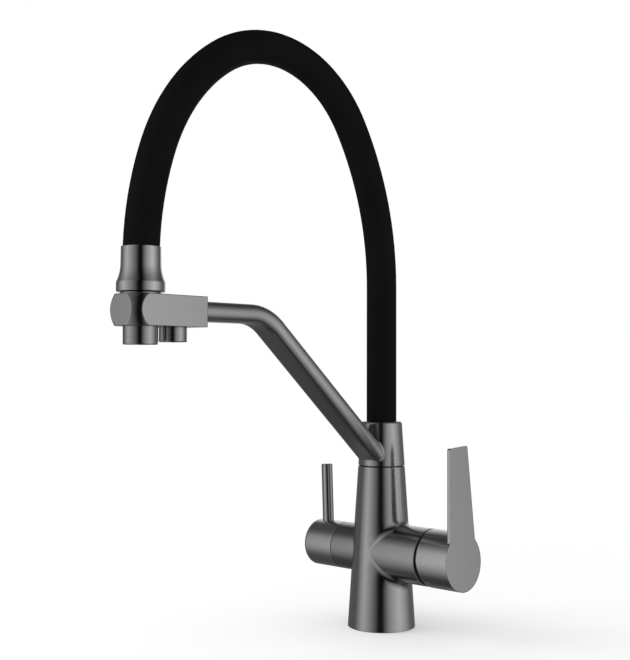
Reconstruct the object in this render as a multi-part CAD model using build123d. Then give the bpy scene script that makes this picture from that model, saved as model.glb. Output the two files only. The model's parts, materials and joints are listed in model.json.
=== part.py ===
"""Kitchen tap with a drinking water filter valve, in millimetres.

The column stands on the worktop at z = 0 with its axis on Z. The spout reaches towards -Y, the mixer lever
is on +X and the filter lever on -X. The hose arch carries mixed water and the flat arm under it carries
filtered water to the small second outlet.
"""

import os
from math import atan2, cos, degrees, radians, sin, sqrt, tan

from build123d import *

# Overall sizes
foot_radius = 26.0
seam_height = 123.1
seam_radius = 18.1
collar_top_height = 157.6
handle_axis_height = 57.6
head_reach = 235.25
block_floor_height = 225.0

# Clearances, and how far every cutter runs past what it cuts
running_gap = 0.05
fit_gap = 0.05
body_gap = 0.3
overrun = 1.0

# Small edge breaks on turned and milled metal, and how exactly an edge is told by its radius
edge_break = 0.4
fine_edge_break = 0.25
radius_match = 0.05

# Column: its two side bosses and the hollow foot
mixer_boss_radius = 21.45
mixer_boss_reach = 48.0
mixer_blend_radius = 6.0
filter_boss_radius = 18.16
filter_boss_reach = 37.0
foot_bore_radius = 20.5
foot_bore_depth = 24.0
gasket_groove_inner_radius = 22.0
gasket_groove_outer_radius = 24.6
gasket_groove_depth = 2.2

# Foot insert with three hose inlets and two fixing stud holes
insert_recess = 1.0
inlet_radius = 4.5
inlet_thread_depth = 14.0
inlet_circle_radius = 10.0
stud_hole_radius = 2.5
stud_hole_depth = 12.0
stud_circle_radius = 14.5

# Water ways drilled in the column
duct_radius = 2.6
mixed_duct_radius = 3.2
filtered_duct_radius = 1.8
filtered_duct_offset = 15.7
inlet_port_drop = 5.0
mixed_port_rise = 8.0

# Mixer cartridge
cartridge_bore_radius = 17.55
cartridge_floor_reach = 14.0
cartridge_base_thickness = 4.2
port_seal_outer_radius = 4.0
port_seal_recess = 0.9
port_seal_thickness = 1.15
fixed_disc_radius = 13.5
fixed_disc_thickness = 3.6
moving_disc_radius = 10.0
moving_disc_thickness = 3.4
disc_chamber_radius = 6.0
disc_chamber_depth = 1.6
carrier_radius = 10.4
carrier_thickness = 3.5
carrier_floor = 0.8
case_chamber_radius = 13.6
case_neck_radius = 11.0
case_lip_thickness = 1.6
rotor_radius = 12.5
rotor_thickness = 6.4
rotor_neck_length = 4.5
pivot_reach = 33.0
pivot_pin_radius = 1.5
pivot_pin_length = 18.0
stem_width = 6.8
stem_height = 8.0
stem_foot_radius = 2.5
stem_foot_gap = 0.6
stem_slot_margin = 2.4
retaining_nut_thickness = 6.5
nut_bore_radius = 11.6
dome_gap = 1.1
dome_wall = 1.4
dome_hole_gap = 1.0
dome_skirt_length = 2.4

# Mixer handle: a hub with a flat lever blade in the plane of its end face
hub_radius = 21.5
hub_face_reach = 77.8
hub_wall = 1.7
hub_floor_reach = 60.0
hub_rim_gap = 2.0
lift_angle = 12.0
rim_relief_angle = 9.0
face_lean = 2.8
blade_top = 83.6
blade_thickness = 3.0
blade_tip_half_width = 10.5
blade_tip_slant = 0.6
blade_root_half_width = 15.2
blade_root_rise = 14.4
blade_corner_radius = 1.6
stem_socket_depth = 8.0
grub_screw_radius = 2.5
grub_screw_length = 8.0
grub_key_width = 2.5
key_depth = 2.5
screw_cover_length = 3.0

# Filter valve and its pin lever
valve_bore_radius = 11.0
valve_floor_reach = 14.0
valve_nose_radius = 9.0
valve_nose_length = 7.5
valve_chamber_radius = 7.5
valve_length = 19.5
valve_neck_radius = 4.6
valve_neck_length = 10.0
seat_seal_outer_radius = 8.6
seat_seal_inner_radius = 5.0
seat_seal_thickness = 2.4
valve_disc_thickness = 2.5
valve_disc_port_radius = 1.9
valve_disc_port_offset = 3.9
window_radius = 1.5
spindle_flange_thickness = 3.8
spindle_tip_radius = 4.0
spindle_reach = 50.0
ring_groove_depth = 1.1
knob_far_reach = 66.9
knob_edge_radius = 3.4
knob_hollow_radius = 13.5
knob_hollow_depth = 7.0
pin_reach = 55.12
pin_radius = 4.45
pin_lean = 2.3
pin_top = 63.4
pin_pocket_floor = 16.4
pin_stub_radius = 2.5
pin_stub_length = 7.0
knob_screw_radius = 2.0
knob_screw_length = 6.0
knob_key_width = 2.0
knob_screw_reach = 46.8

# Swivel between column and collar
seam_gap = 0.7
washer_inner_radius = 13.2
spigot_radius = 12.45
spigot_foot_height = 96.0
spigot_top_height = 131.0
spigot_well_floor = 92.0
spigot_bore_radius = 5.0
side_way_radius = 1.8
side_way_offset = 8.5
side_way_rise = 3.5
filtered_chamber_height = 110.0
filtered_chamber_width = 3.6
seal_groove_width = 2.1
seal_groove_depth = 1.6
seal_cord_radius = 0.75
seal_heights = [100.5, 105.5, 114.5]
clip_height = 118.8
clip_thickness = 1.4
clip_reach = 0.8
clip_gap_width = 4.0

# Collar on the swivel
collar_edge_radius = 2.0
hose_socket_depth = 12.0
tail_thread_radius = 4.95
tail_thread_length = 10.0

# Flat oval arm
arm_half_width = 12.36
arm_half_height = 6.47
arm_wall = 1.7
arm_entry_height = 10.77
arm_bend_radius = 36.6
arm_corner_reach = 132.45
arm_root_height = 122.14
arm_pocket_depth = 4.0
water_tube_radius = 3.2
water_tube_bore_radius = 2.0

# Hose arch: silicone sleeve, steel support tube and water hose, one inside the other
sleeve_radius = 11.6
sleeve_bore_radius = 8.8
support_radius = 8.7
support_bore_radius = 7.6
core_radius = 7.0
core_bore_radius = 4.5
arch_lead_out = 4.2
arch_back_radius = 216.0
arch_front_radius = 138.0
arch_end_radius = 215.0
arch_turns = [34.0, 90.0, 35.5, 20.5]
tail_barb_length = 15.0
tail_bore_radius = 3.0

# Head block
block_height = 19.85
block_half_width = 15.55
block_tail = 42.3
barrel_radius = 18.8
barrel_end_radius = 16.15
head_bore_radius = 8.0

# Neck nipple and hose nut
neck_radius = 12.9
neck_height = 1.3
nipple_thread_length = 9.0
nipple_stem_radius = 8.9
nipple_stem_length = 13.5
nut_gap = 0.2
hose_entry_gap = 0.2
nut_lip = 0.75
nut_waist_lip = 0.9
nut_band_lip = 3.6
nut_band_height = 5.9
nut_waist_rise = 17.5
nut_height = 28.4
nut_insertion = 12.0
neck_seal_thickness = 1.5

# Main nozzle and the small filtered water outlet
nozzle_radius = 11.0
nozzle_drop = 11.6
nozzle_bore_radius = 9.4
nozzle_bore_depth = 8.5
nozzle_thread_length = 6.0
nozzle_way_radius = 5.0
outlet_radius = 9.05
outlet_drop = 9.6
outlet_offset = 26.05
outlet_bore_radius = 7.4
outlet_bore_depth = 6.6
outlet_thread_radius = 5.4
outlet_thread_length = 5.0
outlet_way_radius = 3.4
insert_inset = 0.6
insert_plate = 1.6
insert_wall = 1.1
insert_hole_radius = 0.75
insert_hole_pitch = 2.35
screen_thickness = 0.6
flat_seal_thickness = 1.4
flat_seal_width = 2.0

# Turns in degrees, counts, and the usual alignment of a cylinder
QUARTER = 90
FULL_TURN = 360
INLET_COUNT = 3
FIRST_RING = 6
FROM_LOW = (Align.CENTER, Align.CENTER, Align.MIN)

# Sizes that follow from the ones above
block_top_height = block_floor_height + block_height
arm_height = block_floor_height + arm_entry_height
arm_slope = atan2(arm_height - arm_root_height, arm_corner_reach)
block_tail_reach = head_reach - block_tail
outlet_reach = head_reach - outlet_offset
neck_top_height = block_top_height + neck_height
nut_floor_height = neck_top_height + nut_gap
hose_end_height = nut_floor_height + nut_height - nut_insertion
hose_start_height = collar_top_height - hose_socket_depth
nut_bore_for_hose = sleeve_radius + hose_entry_gap
collar_floor_height = seam_height + seam_gap
cartridge_disc_reach = cartridge_floor_reach + fit_gap + cartridge_base_thickness
moving_disc_reach = cartridge_disc_reach + fixed_disc_thickness + running_gap
carrier_reach = moving_disc_reach + moving_disc_thickness
rotor_reach = carrier_reach + carrier_thickness + body_gap
rotor_far_reach = rotor_reach + rotor_thickness
case_far_reach = rotor_far_reach + running_gap + case_lip_thickness
nut_far_reach = case_far_reach + retaining_nut_thickness
valve_reach = valve_floor_reach + seat_seal_thickness
valve_nose_reach = valve_reach + valve_nose_length
valve_far_reach = valve_reach + valve_length
valve_neck_reach = valve_far_reach - valve_neck_length
knob_reach = filter_boss_reach + body_gap
hub_rim_reach = mixer_boss_reach + hub_rim_gap
dome_radius = sqrt((hub_rim_reach - pivot_reach) ** 2 + (hub_radius - hub_wall) ** 2) - dome_gap
dome_hole_radius = dome_radius * sin(radians(lift_angle)) + stem_height / 2 + dome_hole_gap


def column_radius(height):
    """Outer radius of the tapered column, and of the collar that carries its taper on."""
    return foot_radius - (foot_radius - seam_radius) * height / seam_height


def upright(radius, low, high, x=0, y=0):
    """A cylinder along Z between two heights."""
    return Pos(x, y, low) * Cylinder(radius, high - low, align=FROM_LOW)


def mixer_side(radius, near, far, y=0, rise=0):
    """A cylinder along +X, between two reaches from the column's axis."""
    place = Pos(near, y, handle_axis_height + rise) * Rot(Y=QUARTER)
    return place * Cylinder(radius, far - near, align=FROM_LOW)


def filter_side(radius, near, far, y=0, rise=0):
    """A cylinder along -X, between two reaches from the column's axis."""
    place = Pos(-near, y, handle_axis_height + rise) * Rot(Y=-QUARTER)
    return place * Cylinder(radius, far - near, align=FROM_LOW)


def rim_edges(shape, radius):
    """Whole circles of one radius."""
    circles = shape.edges().filter_by(GeomType.CIRCLE)
    return [e for e in circles if abs(e.radius - radius) < radius_match and e.is_closed]


def inlet_places():
    """Centres of the hot, cold and filtered inlets, evenly spaced on a circle."""
    step = FULL_TURN / INLET_COUNT
    angles = [step / 2 + step * i for i in range(INLET_COUNT)]
    return [(inlet_circle_radius * cos(radians(a)), inlet_circle_radius * sin(radians(a))) for a in angles]


def stud_places():
    """Centres of the two fixing stud holes, between the filtered inlet and the other two."""
    angles = [FULL_TURN / INLET_COUNT, -FULL_TURN / INLET_COUNT]
    return [(stud_circle_radius * cos(radians(a)), stud_circle_radius * sin(radians(a))) for a in angles]


# Column and foot
def column_outside():
    column = Cone(foot_radius, seam_radius, seam_height, align=FROM_LOW)
    column += mixer_side(mixer_boss_radius, 0, mixer_boss_reach)
    column = fillet([e for e in column.edges() if e.geom_type == GeomType.BSPLINE], mixer_blend_radius)
    column = chamfer(rim_edges(column, mixer_boss_radius), fine_edge_break)
    column = chamfer(rim_edges(column, seam_radius), fine_edge_break)
    boss = filter_side(filter_boss_radius, 0, filter_boss_reach)
    boss = chamfer(boss.edges().filter_by(GeomType.CIRCLE).sort_by(Axis.X)[0], fine_edge_break)
    return column + boss


def column_ducts():
    """Hot, cold, filtered and mixed water ways inside the column."""
    hot, filtered, cold = inlet_places()
    cuts = []
    for x, y in (hot, cold):
        port = handle_axis_height - inlet_port_drop
        cuts.append(upright(duct_radius, foot_bore_depth - overrun, port + duct_radius, x, y))
        cuts.append(mixer_side(duct_radius, x, cartridge_floor_reach + overrun, y, -inlet_port_drop))
    x, y = filtered
    cuts.append(upright(duct_radius, foot_bore_depth - overrun, handle_axis_height + duct_radius, x, y))
    cuts.append(filter_side(duct_radius, -x, valve_floor_reach + overrun, y))
    mixed_port = handle_axis_height + mixed_port_rise
    cuts.append(mixer_side(mixed_duct_radius, -mixed_duct_radius, cartridge_floor_reach + overrun, 0,
                           mixed_port_rise))
    cuts.append(upright(mixed_duct_radius, mixed_port, spigot_well_floor + overrun))
    cuts.append(upright(filtered_duct_radius, handle_axis_height + valve_nose_radius, filtered_chamber_height,
                        -filtered_duct_offset))
    cross = Pos(-filtered_duct_offset, 0, filtered_chamber_height - filtered_duct_radius) * Rot(Y=QUARTER)
    cuts.append(cross * Cylinder(filtered_duct_radius, filtered_duct_offset, align=FROM_LOW))
    return cuts


def body_shell():
    well_radius = spigot_radius + running_gap
    shell = column_outside()
    shell -= upright(foot_bore_radius, -overrun, foot_bore_depth)
    shell -= gasket_ring(gasket_groove_inner_radius, gasket_groove_outer_radius, gasket_groove_depth)
    shell -= mixer_side(cartridge_bore_radius, cartridge_floor_reach, mixer_boss_reach + overrun)
    shell -= mixer_side(dome_seat_radius(), mixer_boss_reach - dome_skirt_length, mixer_boss_reach + overrun)
    shell -= filter_side(valve_bore_radius, valve_floor_reach, filter_boss_reach + overrun)
    shell -= upright(well_radius, spigot_well_floor, seam_height + overrun)
    shell -= upright(well_radius + clip_reach + fit_gap, clip_height - body_gap,
                     clip_height + clip_thickness + body_gap)
    for cut in column_ducts():
        shell -= cut
    return shell


def gasket_ring(inner, outer, high):
    return upright(outer, -overrun, high) - upright(inner, -overrun, high)


def base_gasket():
    ring = upright(gasket_groove_outer_radius - fit_gap, 0, gasket_groove_depth)
    return ring - upright(gasket_groove_inner_radius + fit_gap, 0, gasket_groove_depth)


def base_insert():
    plug = upright(foot_bore_radius - fit_gap, insert_recess, foot_bore_depth)
    for x, y in inlet_places():
        plug -= upright(inlet_radius, insert_recess - overrun, insert_recess + inlet_thread_depth, x, y)
        plug -= upright(duct_radius, insert_recess, foot_bore_depth + overrun, x, y)
    for x, y in stud_places():
        plug -= upright(stud_hole_radius, insert_recess - overrun, insert_recess + stud_hole_depth, x, y)
    return plug


# Mixer cartridge
def port_places():
    """Side offset, rise and radius of the two inlet ports and the mixed water port."""
    hot, filtered, cold = inlet_places()
    inlets = [(y, -inlet_port_drop, duct_radius) for x, y in (hot, cold)]
    return inlets + [(0, mixed_port_rise, duct_radius)]


def cartridge_base():
    base = mixer_side(cartridge_bore_radius - fit_gap, cartridge_floor_reach + fit_gap, cartridge_disc_reach)
    for y, rise, radius in port_places():
        base -= mixer_side(radius, cartridge_floor_reach - overrun, cartridge_disc_reach + overrun, y, rise)
        base -= mixer_side(port_seal_outer_radius + fit_gap, cartridge_floor_reach - overrun,
                           cartridge_floor_reach + fit_gap + port_seal_recess, y, rise)
    return base


def port_seals():
    seals = []
    for y, rise, radius in port_places():
        far = cartridge_floor_reach + fit_gap + port_seal_recess
        near = max(cartridge_floor_reach, far - port_seal_thickness)
        seals.append(mixer_side(port_seal_outer_radius, near, far, y, rise)
                     - mixer_side(radius, near - overrun, far + overrun, y, rise))
    return Compound(children=seals)


def fixed_disc():
    disc = mixer_side(fixed_disc_radius, cartridge_disc_reach, cartridge_disc_reach + fixed_disc_thickness)
    for y, rise, radius in port_places():
        disc -= mixer_side(radius, cartridge_disc_reach - overrun,
                           cartridge_disc_reach + fixed_disc_thickness + overrun, y, rise)
    return disc


def moving_disc():
    disc = mixer_side(moving_disc_radius, moving_disc_reach, moving_disc_reach + moving_disc_thickness)
    return disc - mixer_side(disc_chamber_radius, moving_disc_reach - overrun,
                             moving_disc_reach + disc_chamber_depth)


def disc_carrier():
    far = carrier_reach + carrier_thickness
    carrier = mixer_side(carrier_radius, carrier_reach, far)
    socket_reach = carrier_reach + carrier_floor
    return carrier - mixer_side(stem_foot_radius + stem_foot_gap, socket_reach, far + overrun)


def tilted_end(limit_reach, half_height):
    """How near the axis a square end on the stem may reach, so that it stays clear of a limit when lifted."""
    room = pivot_reach - limit_reach - body_gap
    return pivot_reach - (room - half_height * sin(radians(lift_angle))) / cos(radians(lift_angle))


def cartridge_case():
    case = mixer_side(cartridge_bore_radius - fit_gap, cartridge_disc_reach, case_far_reach)
    case -= mixer_side(case_chamber_radius, cartridge_disc_reach - overrun, rotor_reach - running_gap)
    case -= mixer_side(rotor_radius + running_gap, rotor_reach - overrun, rotor_far_reach + running_gap)
    return case - mixer_side(case_neck_radius, rotor_far_reach, case_far_reach + overrun)


def stem_slot():
    """Room for the stem to tilt in the rotor."""
    length = rotor_far_reach + rotor_neck_length - rotor_reach + 2 * overrun
    middle = (rotor_reach + rotor_far_reach + rotor_neck_length) / 2
    slot = Box(length, stem_width + 2 * running_gap, stem_height + 2 * stem_slot_margin)
    return Pos(middle, 0, handle_axis_height) * slot


def pivot_pin():
    pin = Cylinder(pivot_pin_radius, pivot_pin_length)
    return Pos(pivot_reach, 0, handle_axis_height) * Rot(X=QUARTER) * pin


def cartridge_rotor():
    neck = case_neck_radius - body_gap
    rotor = mixer_side(rotor_radius, rotor_reach, rotor_far_reach)
    rotor += mixer_side(neck, rotor_far_reach, rotor_far_reach + rotor_neck_length)
    rotor -= stem_slot()
    hole = Cylinder(pivot_pin_radius + fit_gap, 2 * rotor_radius)
    return rotor - Pos(pivot_reach, 0, handle_axis_height) * Rot(X=QUARTER) * hole


def lever_stem():
    far = hub_floor_reach + stem_socket_depth - fit_gap
    near = tilted_end(carrier_reach + carrier_thickness, stem_height / 2)
    foot = tilted_end(carrier_reach + carrier_floor, stem_foot_radius)
    bar = Pos((near + far) / 2, 0, handle_axis_height) * Box(far - near, stem_width, stem_height)
    stem = bar + mixer_side(stem_foot_radius, foot, near + overrun)
    hole = Cylinder(pivot_pin_radius + running_gap, stem_width + overrun)
    return stem - Pos(pivot_reach, 0, handle_axis_height) * Rot(X=QUARTER) * hole


def retaining_nut():
    nut = mixer_side(cartridge_bore_radius - fit_gap, case_far_reach, nut_far_reach)
    return nut - mixer_side(nut_bore_radius, case_far_reach - overrun, nut_far_reach + overrun)


def dome_seat_radius():
    """The boss's counterbore, where the dome cover's skirt is pressed in."""
    return sqrt(dome_radius**2 - (mixer_boss_reach - pivot_reach) ** 2) + fit_gap


def dome_point(radius, away):
    """A point of the dome's section: a radius from the pivot and a distance from the lever's axis."""
    return (sqrt(radius**2 - away**2), away)


def cartridge_dome():
    """A spherical cover about the lever's pivot, so that the hub can tilt over it."""
    inner_radius = dome_radius - dome_wall
    seat = mixer_boss_reach - pivot_reach
    outer_skirt = dome_seat_radius() - fit_gap
    inner_skirt = sqrt(inner_radius**2 - seat**2)
    midway = (dome_hole_radius + inner_skirt) / 2
    with BuildSketch(Plane.XZ) as profile:
        with BuildLine():
            outside = ThreePointArc([dome_point(dome_radius, away)
                                     for away in (outer_skirt, midway, dome_hole_radius)])
            inside = ThreePointArc([dome_point(inner_radius, away)
                                    for away in (dome_hole_radius, midway, inner_skirt)])
            Line(outside @ 1, inside @ 0)
            skirt_end = seat - dome_skirt_length
            Polyline(inside @ 1, (skirt_end, inner_skirt), (skirt_end, outer_skirt), outside @ 0)
        make_face()
    return Pos(pivot_reach, 0, handle_axis_height) * revolve(profile.sketch, Axis.X)


# Mixer handle
def face_plane():
    """The hub's end face and the lever blade's front, leaning a little towards the column at the top."""
    normal = (cos(radians(face_lean)), 0, sin(radians(face_lean)))
    return Plane(origin=(hub_face_reach, 0, handle_axis_height), x_dir=(0, 1, 0), z_dir=normal)


def rim_relief():
    """The lower half of the hub's rim is cut back, so that it clears the boss when the lever is lifted."""
    size = 2 * hub_radius
    block = Box(size, size + overrun, size, align=(Align.MAX, Align.CENTER, Align.MAX))
    return Pos(hub_rim_reach, 0, handle_axis_height) * Rot(Y=-rim_relief_angle) * block


def mixer_handle():
    beyond = hub_face_reach + blade_thickness
    front = face_plane()
    hub = mixer_side(hub_radius, hub_rim_reach, beyond)
    hub -= front * Box(2 * beyond, 2 * beyond, 2 * blade_thickness, align=FROM_LOW)
    hub -= rim_relief()
    root = [(blade_root_half_width, 0), (blade_root_half_width, blade_root_rise)]
    tip = [(blade_tip_half_width, blade_top + blade_tip_slant),
           (-blade_tip_half_width, blade_top - blade_tip_slant)]
    outline = Polygon(*root, *tip, *[(-across, rise) for across, rise in reversed(root)], align=None)
    outline = fillet(outline.vertices().sort_by(Axis.Y)[-2:], blade_corner_radius)
    blade = extrude(front * outline, amount=-blade_thickness)
    handle = hub + blade
    handle -= mixer_side(hub_radius - hub_wall, hub_rim_reach - overrun, hub_floor_reach)
    socket = Box(stem_socket_depth, stem_width + 2 * fit_gap, stem_height + 2 * fit_gap)
    handle -= Pos(hub_floor_reach + stem_socket_depth / 2, 0, handle_axis_height) * socket
    return handle - Pos(screw_reach(), 0, handle_axis_height - hub_radius - overrun) * Cylinder(
        grub_screw_radius + fit_gap, hub_radius + overrun, align=FROM_LOW)


def screw_reach():
    """The set screw bears on the middle of the stem's socket."""
    return hub_floor_reach + stem_socket_depth / 2


def set_screw(radius, length, key_width, top, x):
    """A headless screw with a hexagon socket in its lower end."""
    screw = upright(radius, top - length, top, x)
    hexagon = RegularPolygon(key_width / 2, 6, major_radius=False)
    socket = Plane(origin=(x, 0, top - length - overrun)) * hexagon
    return screw - extrude(socket, amount=overrun + key_depth)


def handle_grub_screw():
    top = handle_axis_height - stem_height / 2
    return set_screw(grub_screw_radius, grub_screw_length, grub_key_width, top, screw_reach())


def screw_cover():
    low = handle_axis_height - sqrt(hub_radius**2 - grub_screw_radius**2)
    return upright(grub_screw_radius, low, low + screw_cover_length, screw_reach())


# Filter valve
def seat_seal():
    ring = filter_side(seat_seal_outer_radius, valve_floor_reach, valve_reach)
    return ring - filter_side(seat_seal_inner_radius, valve_floor_reach - overrun, valve_reach + overrun)


def filter_headwork():
    work = filter_side(valve_nose_radius, valve_reach, valve_nose_reach)
    work += filter_side(valve_bore_radius - fit_gap, valve_nose_reach, valve_far_reach)
    work -= filter_side(valve_chamber_radius, valve_reach - overrun, valve_neck_reach)
    work -= filter_side(valve_neck_radius, valve_neck_reach - overrun, valve_far_reach + overrun)
    window = Cylinder(window_radius, 2 * valve_bore_radius)
    middle = valve_reach + valve_nose_length / 2
    return work - Pos(-middle, 0, handle_axis_height) * window


def valve_disc(reach):
    """A ceramic disc with two round ports."""
    disc = filter_side(valve_chamber_radius - running_gap, reach, reach + valve_disc_thickness)
    for side in (valve_disc_port_offset, -valve_disc_port_offset):
        disc -= filter_side(valve_disc_port_radius, reach - overrun, reach + valve_disc_thickness + overrun,
                            side)
    return disc


def filter_fixed_disc():
    return valve_disc(valve_reach)


def filter_moving_disc():
    return valve_disc(valve_reach + valve_disc_thickness + running_gap)


def spindle_near_reach():
    return valve_reach + 2 * (valve_disc_thickness + running_gap)


def spindle_ring_reach():
    """The spindle's seal sits in the middle of the valve's neck."""
    return valve_neck_reach + valve_neck_length / 2


def filter_spindle():
    near = spindle_near_reach()
    shaft_radius = valve_neck_radius - running_gap
    spindle = filter_side(valve_chamber_radius - running_gap, near, near + spindle_flange_thickness)
    spindle += filter_side(shaft_radius, near, valve_far_reach)
    spindle += filter_side(spindle_tip_radius, valve_far_reach, spindle_reach)
    groove_near = spindle_ring_reach() - ring_groove_depth
    groove_far = spindle_ring_reach() + ring_groove_depth
    groove = filter_side(shaft_radius + overrun, groove_near, groove_far)
    return spindle - (groove - filter_side(shaft_radius - ring_groove_depth, groove_near, groove_far))


def spindle_ring():
    cord = (ring_groove_depth - fit_gap) / 2
    middle = valve_neck_radius - running_gap - ring_groove_depth + fit_gap + cord
    return Pos(-spindle_ring_reach(), 0, handle_axis_height) * Rot(Y=QUARTER) * Torus(middle, cord)


def pin_place():
    """The pin lever's axis, leaning outward; its origin is on the valve's axis."""
    return Pos(-pin_reach, 0, handle_axis_height) * Rot(Y=-pin_lean)


def filter_knob():
    knob = filter_side(filter_boss_radius, knob_reach, knob_far_reach)
    ends = knob.edges().filter_by(GeomType.CIRCLE).sort_by(Axis.X)
    knob = fillet(ends[0], knob_edge_radius)
    near_end = knob.edges().filter_by(GeomType.CIRCLE).sort_by(Axis.X)[-1]
    knob = chamfer(near_end, fine_edge_break)
    knob -= filter_side(knob_hollow_radius, knob_reach - overrun, knob_reach + knob_hollow_depth)
    knob -= filter_side(spindle_tip_radius + fit_gap, knob_reach, spindle_reach + fit_gap)
    pocket = upright(pin_radius + fit_gap, pin_pocket_floor, filter_boss_radius + overrun)
    hole = upright(pin_stub_radius + fit_gap, pin_pocket_floor - pin_stub_length, pin_pocket_floor)
    knob -= pin_place() * pocket
    knob -= pin_place() * hole
    low = handle_axis_height - filter_boss_radius - overrun
    return knob - upright(knob_screw_radius + fit_gap, low, handle_axis_height, -knob_screw_reach)


def filter_pin_lever():
    pin = upright(pin_radius, pin_pocket_floor, pin_top)
    pin = chamfer(pin.edges().filter_by(GeomType.CIRCLE).sort_by(Axis.Z)[-1], edge_break)
    pin += upright(pin_stub_radius, pin_pocket_floor - pin_stub_length, pin_pocket_floor)
    return pin_place() * pin


def knob_grub_screw():
    top = handle_axis_height - spindle_tip_radius
    return set_screw(knob_screw_radius, knob_screw_length, knob_key_width, top, -knob_screw_reach)


# Swivel
def glide_washer():
    low = seam_height
    high = seam_height + seam_gap - 2 * running_gap
    outer = column_radius(seam_height) - overrun
    return upright(outer, low, high) - upright(washer_inner_radius, low - overrun, high + overrun)


def ring_groove(radius, depth, low, high):
    """A square groove round the spigot."""
    return upright(radius + overrun, low, high) - upright(radius - depth, low, high)


def swivel_spigot():
    spigot = upright(spigot_radius, spigot_foot_height, spigot_top_height)
    spigot -= upright(spigot_bore_radius, spigot_foot_height - overrun, spigot_top_height + overrun)
    for height in seal_heights:
        spigot -= ring_groove(spigot_radius, seal_groove_depth, height - seal_groove_width / 2,
                              height + seal_groove_width / 2)
    chamber_low = filtered_chamber_height - filtered_chamber_width / 2
    spigot -= ring_groove(spigot_radius, seal_groove_depth, chamber_low, chamber_low + filtered_chamber_width)
    spigot -= ring_groove(spigot_radius, clip_reach + fit_gap, clip_height, clip_height + clip_thickness)
    spigot -= upright(side_way_radius, filtered_chamber_height, spigot_top_height + overrun, 0,
                      -side_way_offset)
    inward = Pos(0, -side_way_offset, filtered_chamber_height) * Rot(X=QUARTER)
    return spigot - inward * Cylinder(side_way_radius - fit_gap, spigot_radius, align=FROM_LOW)


def spigot_seals():
    middle = spigot_radius - seal_groove_depth + fit_gap + seal_cord_radius
    return Compound(children=[Pos(0, 0, height) * Torus(middle, seal_cord_radius) for height in seal_heights])


def spigot_clip():
    """A split ring that keeps the spigot from lifting out of the column."""
    low = clip_height + fit_gap
    high = clip_height + clip_thickness - fit_gap
    outer = spigot_radius + clip_reach
    ring = upright(outer, low, high) - upright(spigot_radius - clip_reach, low - overrun, high + overrun)
    gap = Pos(0, outer, (low + high) / 2) * Box(clip_gap_width, 2 * clip_gap_width, 2 * clip_thickness)
    return ring - gap


def collar_outside():
    collar = Pos(0, 0, collar_floor_height) * Cone(
        column_radius(collar_floor_height), column_radius(collar_top_height),
        collar_top_height - collar_floor_height, align=FROM_LOW)
    rims = collar.edges().filter_by(GeomType.CIRCLE).sort_by(Axis.Z)
    collar = fillet(rims[-1], collar_edge_radius)
    return chamfer(collar.edges().filter_by(GeomType.CIRCLE).sort_by(Axis.Z)[0], fine_edge_break)


def swivel_collar():
    collar = collar_outside()
    collar -= upright(spigot_radius + fit_gap, collar_floor_height - overrun, spigot_top_height)
    collar -= upright(tail_thread_radius + fit_gap, spigot_top_height - overrun, collar_top_height)
    collar -= upright(sleeve_radius + fit_gap, hose_start_height, collar_top_height + overrun)
    root = arm_point(side_way_offset)
    collar -= arm_run(water_tube_radius + fit_gap, side_way_offset, column_radius(root) + arm_half_width)
    way_top = spigot_top_height + side_way_rise
    return collar - upright(side_way_radius, spigot_top_height - overrun, way_top, 0, -side_way_offset)


# Arm
def arm_point(reach):
    """Height of the sloping part's centre line at a reach from the column's axis."""
    return arm_root_height + reach * tan(arm_slope)


def arm_run(radius, near, far):
    """A round cutter along the sloping part's centre line."""
    start = Vector(0, -near, arm_point(near))
    end = Vector(0, -far, arm_point(far))
    run = Plane(origin=start, z_dir=end - start)
    return run * Cylinder(radius, (end - start).length, align=FROM_LOW)


def arm_path(near, far):
    """Centre line of the arm from the column out to the head: a slope, one bend and a level run."""
    shorten = arm_bend_radius * tan(arm_slope / 2)
    start = Vector(-near, arm_point(near))
    bend_start = Vector(-arm_corner_reach + shorten * cos(arm_slope), arm_height - shorten * sin(arm_slope))
    slope = Line(start, bend_start)
    bend = JernArc(start=slope @ 1, tangent=slope % 1, radius=arm_bend_radius, arc_size=degrees(arm_slope))
    level = Line(bend @ 1, Vector(-far, arm_height))
    return Plane.YZ * Wire([slope, bend, level])


def swept(outline, path):
    """An outline carried along a path, square to its start."""
    return sweep(Plane(origin=path @ 0, z_dir=path % 0, x_dir=(1, 0, 0)) * outline, path=path)


def flat_oval(half_width, half_height):
    return SlotOverall(2 * half_width, 2 * half_height)


def spout_arm():
    path = arm_path(0, block_tail_reach + arm_pocket_depth)
    arm = swept(flat_oval(arm_half_width, arm_half_height), path)
    arm -= swept(flat_oval(arm_half_width - arm_wall, arm_half_height - arm_wall), path)
    return arm - Cone(foot_radius, column_radius(collar_top_height), collar_top_height, align=FROM_LOW)


def arm_water_tube():
    path = arm_path(spigot_radius + body_gap, outlet_reach + outlet_way_radius)
    tube = swept(Circle(water_tube_radius), path)
    return tube - swept(Circle(water_tube_bore_radius), path)


# Hose arch
def arch_radii():
    """Radii of the four arcs; the crown's radius closes the span from the column to the head."""
    turned = [0]
    for turn in arch_turns:
        turned.append(turned[-1] + turn)
    across = [cos(radians(a)) - cos(radians(b)) for a, b in zip(turned, turned[1:])]
    sides = arch_back_radius * across[0] + arch_front_radius * across[2] + arch_end_radius * across[3]
    crown = (head_reach - sides) / across[1]
    return [arch_back_radius, crown, arch_front_radius, arch_end_radius]


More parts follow.
